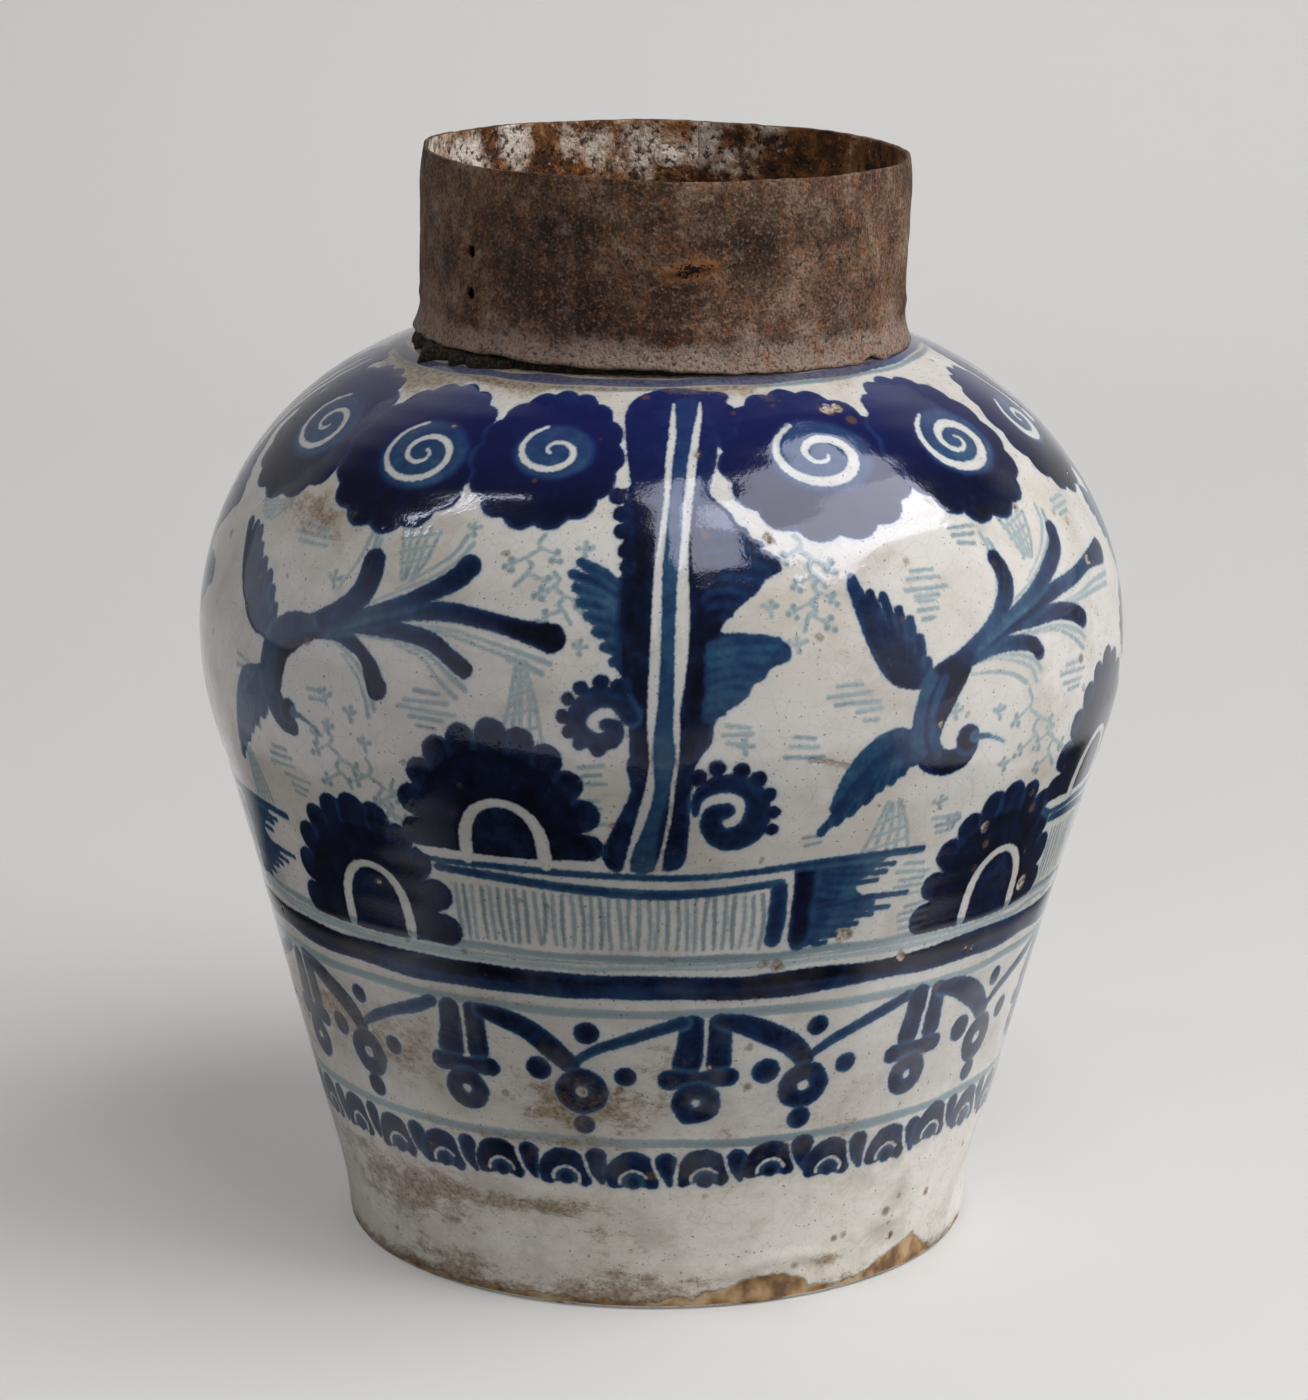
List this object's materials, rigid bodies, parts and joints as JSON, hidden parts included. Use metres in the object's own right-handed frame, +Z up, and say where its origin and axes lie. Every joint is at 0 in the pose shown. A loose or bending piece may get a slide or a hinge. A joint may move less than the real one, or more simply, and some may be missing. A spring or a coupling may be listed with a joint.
{
  "type": "storage jar",
  "caption": "Baluster storage jar of tin-glazed earthenware, painted in blue, with a riveted sheet-iron collar bedded on its neck; stands on a flat ring.",
  "frame": {"origin": "centre of the foot, on the plane that the jar stands on", "axes": "+Z up along the jar's axis; -Y is the front, with the two empty holes of the collar towards the front left (-X)"},
  "size_m": [0.3226, 0.3226, 0.3823],
  "materials": {
    "tin_glaze": "glossy white tin glaze painted in cobalt, worn, pitted and stained",
    "cobalt_paint": "glossy cobalt blue under the glaze, standing in low relief where it is thick",
    "rusted_iron": "hammered sheet iron with brown rust and grey crust, matte",
    "pitch": "black brittle pitch, crumbly and dusty"
  },
  "bodies": {
    "root": {"jar_body": "tin_glaze", "iron_collar": "rusted_iron", "pitch_bedding": "pitch", "seam_rivet_1": "rusted_iron", "seam_rivet_2": "rusted_iron", "seam_rivet_3": "rusted_iron"}
  },
  "joints": []
}
